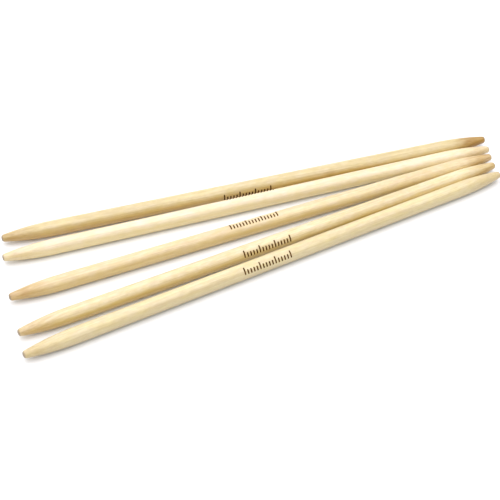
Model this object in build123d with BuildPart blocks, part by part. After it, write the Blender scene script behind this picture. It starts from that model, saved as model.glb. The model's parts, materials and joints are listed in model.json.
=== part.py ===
from build123d import *
from math import cos, radians, sin
import os

# A set of five loose double pointed knitting needles, lying on a table as a fan.
# Millimetres and degrees. The table is the plane Z = 0. The origin is on the table, under the
# middle of the middle needle. +X runs along the middle needle to the gathered end of the fan,
# +Y across the fan to its back, and +Z up.

# One needle: a solid bamboo rod, round all along, with the same blunt point at both ends.
NEEDLE_LENGTH = 150.0
NEEDLE_DIAMETER = 4.5
TAPER_LENGTH = 15.0  # from the nose back to the shoulder, where the full diameter starts
NOSE_DIAMETER = 1.9  # where the taper would meet the flat end, before the edge is rounded
NOSE_ROUNDING = 0.85  # radius of that rounded edge

# The fan, from the front needle to the back one.
NEEDLE_NAMES = (
    "front_needle",
    "front_inner_needle",
    "middle_needle",
    "back_inner_needle",
    "back_needle",
)
TURNS = (4.9, 3.6, 0.0, -4.5, -5.7)  # of each needle about +Z, which spreads the left ends
SHOULDER_OFFSETS = (-9.28, -4.66, 0.0, 4.61, 9.42)  # of each right shoulder across the fan
SHOULDER_ADVANCES = (-1.9, -1.1, 0.0, 1.4, 2.7)  # of each right shoulder along the fan

shaft_radius = NEEDLE_DIAMETER / 2
nose_radius = NOSE_DIAMETER / 2
half_length = NEEDLE_LENGTH / 2
shoulder_distance = half_length - TAPER_LENGTH


def needle_plane(place):
    """The plane that one needle is drawn in: its origin at the needle's middle, its X along it."""
    turn = radians(TURNS[place])
    shoulder_x = shoulder_distance + SHOULDER_ADVANCES[place]
    shoulder_y = SHOULDER_OFFSETS[place]
    middle_x = shoulder_x - shoulder_distance * cos(turn)
    middle_y = shoulder_y - shoulder_distance * sin(turn)
    return Plane(
        origin=(middle_x, middle_y, shaft_radius),
        x_dir=(cos(turn), sin(turn), 0),
        z_dir=(0, 0, 1),
    )


def make_needle(name, plane):
    """One needle, turned about its own axis from half of its outline, and written as a STEP."""
    with BuildPart() as needle:
        with BuildSketch(plane):
            with BuildLine():
                shaft = Line((0, shaft_radius), (shoulder_distance, shaft_radius))
                taper = TangentArc(shaft @ 1, (half_length, nose_radius), tangent=(1, 0))
                Line(taper @ 1, (half_length, 0))
                Line((half_length, 0), (0, 0))
                Line((0, 0), shaft @ 0)
            make_face()
            nose_edge = vertices().sort_by_distance((half_length, nose_radius))[0]
            fillet(nose_edge, NOSE_ROUNDING)
            mirror(about=Plane.YZ)
        revolve(axis=Axis(plane.origin, plane.x_dir))
    needle.part.label = name
    export_step(needle.part, f"parts/{name}.step")


os.makedirs("parts", exist_ok=True)
for place, name in enumerate(NEEDLE_NAMES):
    make_needle(name, needle_plane(place))
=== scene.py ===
import json
import math

import bpy
import numpy as np
from mathutils import Matrix, Vector


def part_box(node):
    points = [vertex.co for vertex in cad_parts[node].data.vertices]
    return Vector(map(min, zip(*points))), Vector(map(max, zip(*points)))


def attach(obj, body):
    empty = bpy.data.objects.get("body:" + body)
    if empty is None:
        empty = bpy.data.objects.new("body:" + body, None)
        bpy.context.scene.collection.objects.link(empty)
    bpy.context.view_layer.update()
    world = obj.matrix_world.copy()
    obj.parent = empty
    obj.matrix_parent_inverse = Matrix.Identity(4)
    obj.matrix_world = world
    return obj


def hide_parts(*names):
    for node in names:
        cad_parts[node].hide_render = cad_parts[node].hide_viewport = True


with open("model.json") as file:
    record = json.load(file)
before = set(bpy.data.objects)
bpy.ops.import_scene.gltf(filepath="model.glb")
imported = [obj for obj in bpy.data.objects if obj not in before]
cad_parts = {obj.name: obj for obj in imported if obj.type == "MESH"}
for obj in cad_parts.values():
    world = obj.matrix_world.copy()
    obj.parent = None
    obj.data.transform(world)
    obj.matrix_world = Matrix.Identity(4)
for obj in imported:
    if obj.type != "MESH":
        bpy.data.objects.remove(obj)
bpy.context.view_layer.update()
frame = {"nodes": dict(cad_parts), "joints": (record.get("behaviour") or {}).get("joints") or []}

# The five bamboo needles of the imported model, each remade as a fine mesh in its own local axes:
# X along the needle from its left point to its right one, Z up, Y to the back of the fan.
# Lengths are in millimetres until a mesh is made; Blender's unit is the metre.
MM = 0.001

# The needle's outline, which is the CAD outline. Its length and diameter come from the frame.
TAPER_LENGTH = 15.0
NOSE_RADIUS = 0.95
NOSE_ROUNDING = 0.85

# How finely a needle is meshed.
SIDES = 128
SHAFT_STEP = 1.0
TAPER_STEP = 0.3
NOSE_RINGS = 12
CAP_RINGS = 4

# Relief of the worked surface: low ridges along the fibres, and flats where the points were sanded.
# It is a sum of waves. Each wave has a whole number of ridges round the needle, and a random share
# of the height, start and drift. A drift shifts a wave's phase along the needle, in radians per mm.
FIBRE_RELIEF = 0.002
FIBRE_RIDGES = (9, 14, 19, 25, 31)
FIBRE_DRIFT = 0.02
SANDING_RELIEF = 0.01
SANDING_RIDGES = (3, 5, 7)
SANDING_DRIFT = 0.25
WAVE_SHARES = (0.2, 0.5)

# The size mark: a plain scale of ticks across the shaft, every fifth one long.
TICK_COUNT = 16
TICK_PITCH = 0.95
TICK_WIDTH = 0.42
TICK_NARROWING = 0.6  # the share of its width that a tick loses at its very ends
TICK_SQUARENESS = 9  # the higher it is, the nearer to the ends the narrowing starts
LONG_TICK = 2.2
SHORT_TICK = 1.4
LONG_TICK_EVERY = 5
TICK_RINGS = 12
MARK_RELIEF = 0.02  # how far the scorched fibres stand proud, and how deep they go

# What differs from needle to needle: the tone of its bamboo (palest and darkest), the painted shade
# and warm reflected light on its lower front side, how brown its left and right points are, its
# stains and painted shade spots, and where its size mark is. A place is a distance from the middle
# towards the right, and a turn is in degrees round the needle, from the top towards the front. A
# stain or painted shade spot is (place, turn, length, strength).
NEEDLES = {
    "front_needle": {
        "slot": "bamboo_cream",
        "seed": 1,
        "pale": (0.64, 0.54, 0.32),
        "dark": (0.53, 0.41, 0.22),
        "underside_shade": (0.57, 0.46, 0.22),
        "points": (0.23, 0.18),
        "stains_and_shade": (),
        "mark_place": -5.05,
        "mark_turn": 42.0,
    },
    "front_inner_needle": {
        "slot": "bamboo_golden",
        "seed": 2,
        "pale": (0.69, 0.58, 0.38),
        "dark": (0.56, 0.43, 0.23),
        "underside_shade": (0.65, 0.45, 0.09),
        "points": (0.36, 0.45),
        "stains_and_shade": (),
        "mark_place": -3.2,
        "mark_turn": 49.0,
    },
    "middle_needle": {
        "slot": "bamboo_warm",
        "seed": 3,
        "pale": (0.68, 0.55, 0.34),
        "dark": (0.56, 0.41, 0.22),
        "underside_shade": (0.61, 0.43, 0.1),
        "points": (0.46, 0.55),
        "stains_and_shade": (),
        "mark_place": -3.85,
        "mark_turn": -5.0,
    },
    "back_inner_needle": {
        "slot": "bamboo_pale",
        "seed": 4,
        "pale": (0.75, 0.63, 0.48),
        "dark": (0.65, 0.53, 0.35),
        "underside_shade": (0.8, 0.66, 0.3),
        "points": (0.22, 0.28),
        # painted shade beside the middle needle, near the right point, not a stain
        "stains_and_shade": ((71.0, 63.0, 6.0, 0.8),),
        "mark_place": -2.2,
        "mark_turn": -52.0,
    },
    "back_needle": {
        "slot": "bamboo_tan",
        "seed": 5,
        "pale": (0.61, 0.49, 0.27),
        "dark": (0.49, 0.37, 0.16),
        "underside_shade": (0.59, 0.36, 0.04),
        "points": (0.45, 1.0),
        "stains_and_shade": ((23.0, 57.0, 6.0, 0.35),),
        "mark_place": -2.9,
        "mark_turn": 88.0,
    },
}

# The layers of the grain: cycles per mm of each one, along the fibres and across them.
GRAIN_SCALES = {
    "wander": (0.03, 0.15),
    "fine": (0.02, 7.0),
    "streaks": (0.012, 2.2),
    "broad": (0.03, 0.35),
    "mottle": (0.45, 1.4),
    "yellow": (0.3, 0.6),
    "bundles": (0.006, 2.3),
    "pores": (0.5, 4.2),
}
FIBRE_WANDER = 0.9  # how far the fibres wander sideways
SEED_SHIFT = (41.0, 7.3, 3.1)  # from one needle's place in the wood to the next one's

# Where a bundle or a pore starts and ends to fade, as shares of the space between two of them.
BUNDLE_EDGE = (0.10, 0.24)
PORE_EDGE = (0.15, 0.45)

# How layers of the grain add up, and between which values each effect goes from least to most.
TONE_LAYERS = {"streaks": 0.5, "broad": 0.6, "mottle": 0.6}
TONE_RANGE = (0.6, 1.1)
POINT_LAYERS = {"streaks": 1.0, "broad": 0.6}
POINT_RANGE = (0.55, 1.0)
YELLOW_RANGE = (0.3, 0.7)
FIBRE_RANGE = (0.35, 0.7)
ROUGHNESS_RANGE = (0.3, 0.7)

# The lower front side, where shade and warm reflected light are painted over the tone, in degrees
# from the top towards the front.
UNDERSIDE_SHADE_SIDE = 140.0
UNDERSIDE_SHADE_SHARE = 0.9
UNDERSIDE_SHADE_BORDER = (0.1, 1.5)  # from the axis towards that side, in radii, where it grows to its full
UNDERSIDE_SHADE_UNEVENNESS = 0.8  # how far the broad layer of the grain moves the border, in radii

# The browner fibres that sanding lays bare at the points, and that stains show on a shaft. The same
# brown is also painted as shade: in a spot on the back inner needle, and more of it on top of each
# point. How brown a point is varies with its fibres, and with the height over the needle's axis.
BARED_AND_SHADE_BROWN = (0.62, 0.44, 0.16)
POINT_START = 13.0  # from the end
POINT_FULL = 3.0
POINT_FIBRE_SHARES = (0.8, 1.2)  # on its palest fibres and on its darkest
# More brown on top of a point is painted shade.
POINT_HEIGHTS = (-1.5, 1.5)
POINT_TOP_SHADE_SHARES = (0.75, 1.2)  # at these heights
SPOT_HALF_WIDTH = 1.2
SPOT_EDGE = (0.2, 1.0)  # shares of the way to its outline where it starts and ends to fade

# Tints of the wood: where it is yellower, along its fibres and vascular bundles, and of the end
# grain with its pores.
YELLOWED = (1.0, 0.99, 0.80)
FIBRE_BROWN = (0.62, 0.47, 0.27)
FIBRE_SHADE = 0.25
BUNDLE_BROWN = (0.50, 0.34, 0.18)
BUNDLE_SHADE = 0.25
END_BROWN = (0.30, 0.22, 0.14)
PORE_BROWN = (0.12, 0.08, 0.05)
END_FACING = (0.25, 0.8)  # how far a surface faces along the needle where end grain starts to show

# The wood's surface under its polish. Bumps are shares of BUMP_DEPTH.
WOOD_ROUGHNESS = (0.38, 0.5)
END_ROUGHNESS = 0.3  # what the end grain adds to it
BUMP_DEPTH = 0.02
WOOD_BUMP = 0.5
BUNDLE_DEPTH = 0.8  # of the sunk bundles, against the height of the fine fibres

# The polish, and how much of it is sanded off where the points are brownest.
COAT_WEIGHT = 1.0
COAT_LOSS = 0.7
COAT_ROUGHNESS = 0.5
COAT_IOR = 1.75

# The size mark's burnt fibres.
BURNT_DARK = (0.035, 0.014, 0.003)
BURNT_LIGHT = (0.13, 0.055, 0.012)
BURNT_BLOTCH_SCALE = (1.6, 1.6)
BURNT_GRAIN_SCALE = (0.4, 9.0)
BURNT_GRAIN_SHARE = 0.5
BURNT_RANGE = (0.5, 1.0)
BURNT_ROUGHNESS = 0.8
BURNT_SPECULAR = 0.1
BURNT_BUMP = 0.6

# The white table, which lies just clear of the needles' lowest lines.
FLOOR_HALF_SIDE = 3000.0
FLOOR_DROP = 0.02
FLOOR_COLOUR = (0.78, 0.78, 0.795, 1.0)
FLOOR_ROUGHNESS = 0.6
FLOOR_SPECULAR = 0.2

# The light: a white room, brightest overhead, with a white backdrop behind the fan. A spread says
# between which two shares of a direction, upwards or backwards, the light grows to its full.
WHITE = (1.0, 1.0, 1.0, 1.0)
HORIZON_LIGHT = 0.45
ZENITH_LIGHT = 3.0
OVERHEAD_SPREAD = (0.45, 1.0)
BACKDROP_LIGHT = 1.2
BACKDROP_SPREAD = (0.5, 1.0)

# The view: over the front left of the fan, looking down at a spot on the table. In degrees and mm.
VIEW_AZIMUTH = -22.73
VIEW_ELEVATION = 45.42
VIEW_DISTANCE = 293.9
VIEW_TARGET = (-7.75, -6.43)
VIEW_LENS = 74.87
VIEW_NEAREST = 10.0  # nothing nearer to the camera is drawn
VIEW_TRANSFORM = "Standard"


# ---------------------------------------------------------------- where the frame puts a needle


def needle_axis(name):
    """The direction of a needle, from its left point to its right one.

    A joint slides its needle out to the left. The root needle has no joint, and lies along X."""
    for joint in frame["joints"]:
        if joint["child"] == name:
            return -Vector(joint["axis"]).normalized()
    return Vector((1, 0, 0))


def needle_place(name):
    """(matrix from a needle's local axes to the frame, its length, its radius), in metres."""
    low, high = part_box(name)
    along = needle_axis(name)
    up = Vector((0, 0, 1))
    centre = (low + high) / 2
    offsets = [vertex.co - centre for vertex in frame["nodes"][name].data.vertices]
    places_along = [offset.dot(along) for offset in offsets]
    length = max(places_along) - min(places_along)
    radius = max(offset.cross(along).length for offset in offsets)
    rotation = Matrix((along, up.cross(along), up)).transposed()
    return Matrix.Translation(centre) @ rotation.to_4x4(), length, radius


# ---------------------------------------------------------------- from millimetres to metres


def mesh_from_mm(name, vertices, faces):
    """A mesh of points that are given in mm."""
    mesh = bpy.data.meshes.new(name)
    mesh.from_pydata((np.array(vertices) * MM).tolist(), [], faces)
    return mesh


# ---------------------------------------------------------------- the needle's mesh


def half_outline(half_length, radius):
    """Points (distance from the middle, radius) along a needle from its middle to its nose, in mm.

    A straight shaft, a taper that is an arc tangent to it, and a nose edge that is an arc tangent
    to the taper and to the flat end."""
    shoulder = half_length - TAPER_LENGTH
    drop = radius - NOSE_RADIUS
    arc = (TAPER_LENGTH**2 + drop**2) / (2 * drop)
    arc_centre = radius - arc
    edge_x = half_length - NOSE_ROUNDING
    edge_r = arc_centre + math.sqrt((arc - NOSE_ROUNDING) ** 2 - (edge_x - shoulder) ** 2)
    edge_start = math.atan2(edge_x - shoulder, edge_r - arc_centre)
    taper_end = shoulder + arc * math.sin(edge_start)

    points = [(x, radius) for x in np.linspace(0, shoulder, round(shoulder / SHAFT_STEP) + 1)]
    steps = round((taper_end - shoulder) / TAPER_STEP)
    for x in np.linspace(shoulder, taper_end, steps + 1)[1:]:
        points.append((x, arc_centre + math.sqrt(arc**2 - (x - shoulder) ** 2)))
    for angle in np.linspace(edge_start, math.pi / 2, NOSE_RINGS + 1)[1:]:
        points.append(
            (edge_x + NOSE_ROUNDING * math.sin(angle), edge_r + NOSE_ROUNDING * math.cos(angle))
        )
    for share in np.linspace(1, 0, CAP_RINGS + 1)[1:-1]:
        points.append((half_length, edge_r * share))
    return points


def relief_waves(seed):
    """The seeded waves of one needle's relief: those of its fibres, and those of its sanding."""
    random = np.random.default_rng(seed)

    def waves(ridge_counts, drift):
        return [
            (
                ridges,
                random.uniform(*WAVE_SHARES),
                random.uniform(0, 2 * math.pi),
                random.normal(0, drift),
            )
            for ridges in ridge_counts
        ]

    return waves(FIBRE_RIDGES, FIBRE_DRIFT), waves(SANDING_RIDGES, SANDING_DRIFT)


def wave_sum(waves, x, angle):
    """The waves added up, at each angle of the ring at x."""
    return sum(
        share * np.sin(ridges * angle + phase + x * drift) for ridges, share, phase, drift in waves
    )


def relief(waves, x, angle, half_length):
    """How far the worked surface stands off the outline, in mm, at each angle of the ring at x."""
    fibres, sanding = waves
    from_shoulder = max(0.0, abs(x) - (half_length - TAPER_LENGTH)) / TAPER_LENGTH
    ridges = FIBRE_RELIEF * wave_sum(fibres, x, angle)
    flats = SANDING_RELIEF * wave_sum(sanding, x, angle) * from_shoulder
    return ridges + flats


def needle_rings(length, radius, seed):
    """Rings of points round a needle, from its left nose to its right one, with its relief.

    The relief is less on a smaller ring, so that the nose stays flat."""
    half = half_outline(length / 2, radius)
    outline = [(-x, r) for x, r in reversed(half)] + half[1:]
    waves = relief_waves(seed)
    angle = np.arange(SIDES) * (2 * math.pi / SIDES)
    rings = []
    for x, r in outline:
        ring_radius = r + r / radius * relief(waves, x, angle, length / 2)
        rings.append(
            np.column_stack(
                [np.full(SIDES, x), ring_radius * np.cos(angle), ring_radius * np.sin(angle)]
            )
        )
    return rings


def needle_mesh(name, length, radius, seed):
    """A closed needle in its local axes: quads between its rings, and a fan at each nose."""
    rings = needle_rings(length, radius, seed)
    vertices = np.vstack([[[-length / 2, 0, 0]], *rings, [[length / 2, 0, 0]]])
    last = len(vertices) - 1
    faces = []
    for side in range(SIDES):
        after = (side + 1) % SIDES
        faces.append((0, 1 + after, 1 + side))
        for ring in range(len(rings) - 1):
            here = 1 + ring * SIDES
            there = here + SIDES
            faces.append((here + side, here + after, there + after, there + side))
        faces.append((last, last - SIDES + side, last - SIDES + after))
    mesh = mesh_from_mm(name, vertices, faces)
    mesh.shade_smooth()
    return mesh


# ---------------------------------------------------------------- the size mark's mesh


def tick_rings(x, length, radius, turn):
    """Rings of four corners that make one tick: a thin block bent round the shaft at x.

    It starts from the mark's common lower line, and it narrows towards its two rounded ends."""
    start = math.radians(turn) + LONG_TICK / 2 / radius
    outer = radius + MARK_RELIEF
    inner = radius - MARK_RELIEF
    rings = []
    for share in np.linspace(0, 1, TICK_RINGS + 1):
        angle = start - share * length / radius
        narrowing = TICK_NARROWING * abs(2 * share - 1) ** TICK_SQUARENESS
        half_width = TICK_WIDTH / 2 * (1 - narrowing)
        rings.append(
            [
                (x + side * half_width, -r * math.sin(angle), r * math.cos(angle))
                for side, r in ((-1, outer), (1, outer), (1, inner), (-1, inner))
            ]
        )
    return rings


def add_tick(vertices, faces, rings):
    """Add one closed tick: quads from each ring to the next, and one quad at each end."""
    first = len(vertices)
    for ring in rings:
        vertices += ring
    last = len(vertices) - 4
    for here in range(first, last, 4):
        there = here + 4
        for corner in range(4):
            after = (corner + 1) % 4
            faces.append((here + corner, here + after, there + after, there + corner))
    faces.append((first + 3, first + 2, first + 1, first))
    faces.append((last, last + 1, last + 2, last + 3))


def mark_mesh(name, radius, place, turn):
    """The size mark: a row of ticks centred on place, each one a closed thin block."""
    vertices = []
    faces = []
    for tick in range(TICK_COUNT):
        x = place + (tick - (TICK_COUNT - 1) / 2) * TICK_PITCH
        length = SHORT_TICK if tick % LONG_TICK_EVERY else LONG_TICK
        add_tick(vertices, faces, tick_rings(x, length, radius, turn))
    return mesh_from_mm(name, vertices, faces)


# ---------------------------------------------------------------- nodes


def fill_inputs(tree, made, inputs):
    """Link each input that is given as a socket, and set every other one to its value."""
    for key, value in inputs.items():
        if isinstance(value, bpy.types.NodeSocket):
            tree.links.new(value, made.inputs[key])
        else:
            made.inputs[key].default_value = value


def node(tree, kind, inputs=None, **settings):
    """A new shader node, with its settings made and its inputs filled."""
    made = tree.nodes.new("ShaderNode" + kind)
    for key, value in settings.items():
        setattr(made, key, value)
    fill_inputs(tree, made, inputs or {})
    return made


def calc(tree, operation, a, b=0.0, c=0.0):
    """The result of a Math node, by the name of its operation."""
    return node(tree, "Math", {0: a, 1: b, 2: c}, operation=operation).outputs[0]


def vector_calc(tree, operation, *vectors, output="Vector"):
    """A result of a Vector Math node, by the name of its operation."""
    made = node(tree, "VectorMath", dict(enumerate(vectors)), operation=operation)
    return made.outputs[output]


def parts_of(tree, vector):
    """The X, Y and Z of a vector, by name."""
    return node(tree, "SeparateXYZ", {0: vector}).outputs


def stretch(tree, vector, along, across):
    """vector with its X multiplied by along and its Y and Z by across."""
    return vector_calc(tree, "MULTIPLY", vector, (along, across, across))


def ramp(tree, value, low, high, to_low=0.0, to_high=1.0):
    """value, eased from to_low at low to to_high at high."""
    return node(
        tree,
        "MapRange",
        {"Value": value, "From Min": low, "From Max": high, "To Min": to_low, "To Max": to_high},
        interpolation_type="SMOOTHSTEP",
    ).outputs[0]


def blend_colours(tree, factor, a, b, blend_type="MIX"):
    """Colour a with colour b laid over it by factor. A plain colour is (red, green, blue)."""
    factor_input, a_input, b_input, result = 0, 6, 7, 2  # a Mix node's sockets for colours
    colours = {a_input: a, b_input: b}
    for key, value in colours.items():
        if not isinstance(value, bpy.types.NodeSocket):
            colours[key] = (*value, 1.0)
    made = node(
        tree, "Mix", {factor_input: factor, **colours}, data_type="RGBA", blend_type=blend_type
    )
    return made.outputs[result]


def noise(tree, vector, detail=2.0, roughness=0.5, output="Fac"):
    """Soft random variation with one cycle per unit of the vector."""
    inputs = {"Vector": vector, "Scale": 1.0, "Detail": detail, "Roughness": roughness}
    return node(tree, "TexNoise", inputs).outputs[output]


def cells(tree, vector):
    """The distance to the nearest of randomly scattered spots, one per unit of the vector."""
    return node(tree, "TexVoronoi", {"Vector": vector, "Scale": 1.0}).outputs["Distance"]


def bump(tree, height, strength):
    """The surface's normal, tilted as if the surface had this height."""
    inputs = {"Height": height, "Strength": strength, "Distance": BUMP_DEPTH * MM}
    return node(tree, "Bump", inputs).outputs[0]


def local_mm(tree):
    """A point of the needle in its own axes, in mm."""
    spot = node(tree, "TexCoord").outputs["Object"]
    return stretch(tree, spot, 1 / MM, 1 / MM)


def new_material(name):
    """(a new material, its node tree, its surface node)."""
    material = bpy.data.materials.new(name)
    material.use_nodes = True
    tree = material.node_tree
    return material, tree, tree.nodes["Principled BSDF"]


# ---------------------------------------------------------------- bamboo


def wood_grain(tree, local, seed):
    """The layers of the solid wood, all drawn out along X."""
    shift = tuple(step * seed for step in SEED_SHIFT)
    shifted = vector_calc(tree, "ADD", local, shift)

    def scaled(vector, layer):
        return stretch(tree, vector, *GRAIN_SCALES[layer])

    # the fibres wander a little sideways along the needle, so that lines come and go at its surface
    drift = noise(tree, scaled(shifted, "wander"), detail=1.0, output="Color")
    sideways = (0.0, FIBRE_WANDER, FIBRE_WANDER)
    wandering = vector_calc(tree, "MULTIPLY_ADD", drift, sideways, shifted)
    bundles = cells(tree, scaled(wandering, "bundles"))
    pores = cells(tree, scaled(shifted, "pores"))
    return {
        "fine": noise(tree, scaled(wandering, "fine"), detail=3.0, roughness=0.6),
        "streaks": noise(tree, scaled(wandering, "streaks")),
        "broad": noise(tree, scaled(wandering, "broad")),
        "mottle": noise(tree, scaled(wandering, "mottle")),
        "yellow": noise(tree, scaled(shifted, "yellow")),
        "bundles": ramp(tree, bundles, *BUNDLE_EDGE, 1.0, 0.0),
        "between_pores": ramp(tree, pores, *PORE_EDGE),
    }


def layered(tree, grain, shares):
    """The sum of some of the grain's layers, each one times its share."""
    total = 0.0
    for layer, share in shares.items():
        total = calc(tree, "MULTIPLY_ADD", grain[layer], share, total)
    return total


def painted_underside_shade(tree, local, radius, grain):
    """0 to a full share of painted shade over the lower front side, with an uneven border."""
    side = math.radians(UNDERSIDE_SHADE_SIDE)
    towards = (0.0, -math.sin(side) / radius, math.cos(side) / radius)
    to_side = vector_calc(tree, "DOT_PRODUCT", local, towards, output="Value")
    uneven = calc(tree, "MULTIPLY_ADD", grain["broad"], UNDERSIDE_SHADE_UNEVENNESS, to_side)
    return ramp(tree, uneven, *UNDERSIDE_SHADE_BORDER, 0.0, UNDERSIDE_SHADE_SHARE)


def brown_points(tree, local, strengths, half_length, grain):
    """0 to about a point's strength over its sanded end: uneven with the fibres, and most on top,
    as painted shade.
    """
    parts = parts_of(tree, local)
    left, right = strengths
    start = half_length - POINT_START
    full = half_length - POINT_FULL
    at_left = ramp(tree, parts["X"], -full, -start, left, 0.0)
    at_right = ramp(tree, parts["X"], start, full, 0.0, right)
    fibres = ramp(tree, layered(tree, grain, POINT_LAYERS), *POINT_RANGE, *POINT_FIBRE_SHARES)
    # painted shade: the point's brown grows towards its top
    level = ramp(tree, parts["Z"], *POINT_HEIGHTS, *POINT_TOP_SHADE_SHARES)
    uneven = calc(tree, "MULTIPLY", fibres, level)
    return calc(tree, "MULTIPLY", calc(tree, "MAXIMUM", at_left, at_right), uneven)


def brown_stains_and_shade(tree, local, stains_and_shade, radius):
    """0 to a spot's strength over soft spots drawn out along the fibres: stains, and painted shade.
    """
    total = 0.0
    for place, turn, length, strength in stains_and_shade:
        angle = math.radians(turn)
        spot = (place, -radius * math.sin(angle), radius * math.cos(angle))
        from_spot = vector_calc(tree, "SUBTRACT", local, spot)
        to_outline = stretch(tree, from_spot, 2 / length, 1 / SPOT_HALF_WIDTH)
        distance = vector_calc(tree, "LENGTH", to_outline, output="Value")
        total = calc(tree, "MAXIMUM", total, ramp(tree, distance, *SPOT_EDGE, strength, 0.0))
    return total


def end_grain(tree):
    """0 to 1 where the surface faces along the needle, which is on the blunt noses."""
    normal = node(tree, "TexCoord").outputs["Normal"]
    return ramp(tree, calc(tree, "ABSOLUTE", parts_of(tree, normal)["X"]), *END_FACING)


def wood_colour(tree, grain, look, underside_shade, bared_and_shade, end):
    """The bamboo's colour: its tone, painted underside shade, the browns on it, end grain over all.
    """
    tone = ramp(tree, layered(tree, grain, TONE_LAYERS), *TONE_RANGE)
    yellow = ramp(tree, grain["yellow"], *YELLOW_RANGE)
    fibres = ramp(tree, grain["fine"], *FIBRE_RANGE, 0.0, FIBRE_SHADE)
    bundles = calc(tree, "MULTIPLY", grain["bundles"], BUNDLE_SHADE)
    end_colour = blend_colours(tree, grain["between_pores"], PORE_BROWN, END_BROWN)

    colour = blend_colours(tree, tone, look["pale"], look["dark"])
    colour = blend_colours(tree, yellow, colour, YELLOWED, "MULTIPLY")
    # painted shade and warm reflected light on the lower front side, over the tone
    colour = blend_colours(tree, underside_shade, colour, look["underside_shade"])
    # the browns of the points and stains, some of it painted shade
    colour = blend_colours(tree, bared_and_shade, colour, BARED_AND_SHADE_BROWN, "MULTIPLY")
    colour = blend_colours(tree, fibres, colour, FIBRE_BROWN, "MULTIPLY")
    colour = blend_colours(tree, bundles, colour, BUNDLE_BROWN, "MULTIPLY")
    return blend_colours(tree, end, colour, end_colour)


def bamboo(look, radius, half_length):
    """Bamboo as a solid: fibres and bundles run along X, and the taper cuts across them."""
    material, tree, surface = new_material(look["slot"])
    local = local_mm(tree)
    grain = wood_grain(tree, local, look["seed"])
    # the painted shade of the lower front side
    underside_shade = painted_underside_shade(tree, local, radius, grain)
    points = brown_points(tree, local, look["points"], half_length, grain)
    stains_and_shade = brown_stains_and_shade(tree, local, look["stains_and_shade"], radius)
    # the browns of points and stains, with the painted shade among them
    bared_and_shade = calc(tree, "MAXIMUM", points, stains_and_shade)
    end = end_grain(tree)

    roughness = ramp(tree, grain["fine"], *ROUGHNESS_RANGE, *WOOD_ROUGHNESS)
    height = calc(tree, "MULTIPLY_ADD", grain["bundles"], -BUNDLE_DEPTH, grain["fine"])
    inputs = {
        "Base Color": wood_colour(tree, grain, look, underside_shade, bared_and_shade, end),
        "Roughness": calc(tree, "MULTIPLY_ADD", end, END_ROUGHNESS, roughness),
        "Normal": bump(tree, height, WOOD_BUMP),
        "Coat Weight": calc(tree, "MULTIPLY_ADD", points, -COAT_LOSS, COAT_WEIGHT),
        "Coat Roughness": COAT_ROUGHNESS,
        "Coat IOR": COAT_IOR,
    }
    fill_inputs(tree, surface, inputs)
    return material


# ---------------------------------------------------------------- the burnt mark


def scorched(name):
    """The burnt brown of the size mark, uneven along its strokes."""
    material, tree, surface = new_material(name)
    local = local_mm(tree)
    blotches = noise(tree, stretch(tree, local, *BURNT_BLOTCH_SCALE), detail=3.0)
    grain = noise(tree, stretch(tree, local, *BURNT_GRAIN_SCALE))
    uneven = calc(tree, "MULTIPLY_ADD", grain, BURNT_GRAIN_SHARE, blotches)
    inputs = {
        "Base Color": blend_colours(
            tree, ramp(tree, uneven, *BURNT_RANGE), BURNT_DARK, BURNT_LIGHT
        ),
        "Roughness": BURNT_ROUGHNESS,
        "Specular IOR Level": BURNT_SPECULAR,
        "Normal": bump(tree, grain, BURNT_BUMP),
    }
    fill_inputs(tree, surface, inputs)
    return material


# ---------------------------------------------------------------- the pieces


def add_piece(mesh, material, matrix, body):
    """A mesh in a needle's local axes, put in place by matrix and riding on its body."""
    piece = bpy.data.objects.new(mesh.name, mesh)
    bpy.context.scene.collection.objects.link(piece)
    mesh.materials.append(material)
    piece.matrix_world = matrix
    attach(piece, body)
    return piece


def add_needle(name, look, mark_material):
    """One needle in place of its CAD solid, and the size mark on it."""
    matrix, length, radius = needle_place(name)
    length /= MM
    radius /= MM
    rod_mesh = needle_mesh(f"{name}_bamboo", length, radius, look["seed"])
    wood = bamboo(look, radius, length / 2)
    rod = add_piece(rod_mesh, wood, matrix, name)
    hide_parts(name)
    ticks = mark_mesh(f"{name}_size_mark", radius, look["mark_place"], look["mark_turn"])
    add_piece(ticks, mark_material, matrix, name)


# ---------------------------------------------------------------- floor, light and camera


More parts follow.
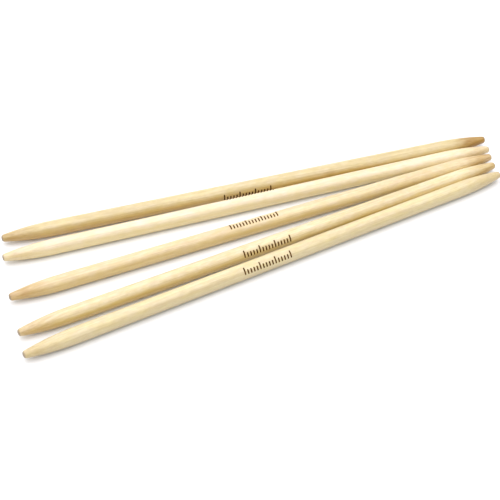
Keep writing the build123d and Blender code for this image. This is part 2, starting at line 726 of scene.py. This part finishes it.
def add_floor():
    """The table: one wide white square."""
    side = FLOOR_HALF_SIDE
    corners = ((-side, -side), (side, -side), (side, side), (-side, side))
    mesh = mesh_from_mm("floor", [(x, y, -FLOOR_DROP) for x, y in corners], [(0, 1, 2, 3)])
    material, tree, surface = new_material("white_table")
    inputs = {
        "Base Color": FLOOR_COLOUR,
        "Roughness": FLOOR_ROUGHNESS,
        "Specular IOR Level": FLOOR_SPECULAR,
    }
    fill_inputs(tree, surface, inputs)
    mesh.materials.append(material)
    floor = bpy.data.objects.new("floor", mesh)
    bpy.context.scene.collection.objects.link(floor)


def add_light():
    """The white room as a sky, brightest overhead, which the camera itself sees as plain white."""
    world = bpy.data.worlds.new("white_room")
    bpy.context.scene.world = world
    world.use_nodes = True
    tree = world.node_tree
    direction = parts_of(tree, node(tree, "TexCoord").outputs["Generated"])
    overhead = ramp(tree, direction["Z"], *OVERHEAD_SPREAD, HORIZON_LIGHT, ZENITH_LIGHT)
    backdrop = ramp(tree, direction["Y"], *BACKDROP_SPREAD, 0.0, BACKDROP_LIGHT)
    seen = node(tree, "LightPath").outputs["Is Camera Ray"]
    strength = calc(tree, "MAXIMUM", calc(tree, "ADD", overhead, backdrop), seen)
    fill_inputs(tree, tree.nodes["Background"], {"Color": WHITE, "Strength": strength})


def add_camera():
    """The camera, aimed at VIEW_TARGET from VIEW_DISTANCE away."""
    camera = bpy.data.objects.new("camera", bpy.data.cameras.new("camera"))
    bpy.context.scene.collection.objects.link(camera)
    camera.data.lens = VIEW_LENS
    camera.data.clip_start = VIEW_NEAREST * MM
    azimuth = math.radians(VIEW_AZIMUTH)
    elevation = math.radians(VIEW_ELEVATION)
    back = Vector(
        (
            math.sin(azimuth) * math.cos(elevation),
            -math.cos(azimuth) * math.cos(elevation),
            math.sin(elevation),
        )
    )
    target = Vector((*VIEW_TARGET, 0)) * MM
    turned = back.to_track_quat("Z", "Y").to_matrix().to_4x4()
    camera.matrix_world = Matrix.Translation(target + back * VIEW_DISTANCE * MM) @ turned
    bpy.context.scene.camera = camera


def main():
    """Every needle, and then the table, the light and the view."""
    mark_material = scorched("size_mark")
    for name, look in NEEDLES.items():
        add_needle(name, look, mark_material)
    add_floor()
    add_light()
    add_camera()
    bpy.context.scene.view_settings.view_transform = VIEW_TRANSFORM


main()
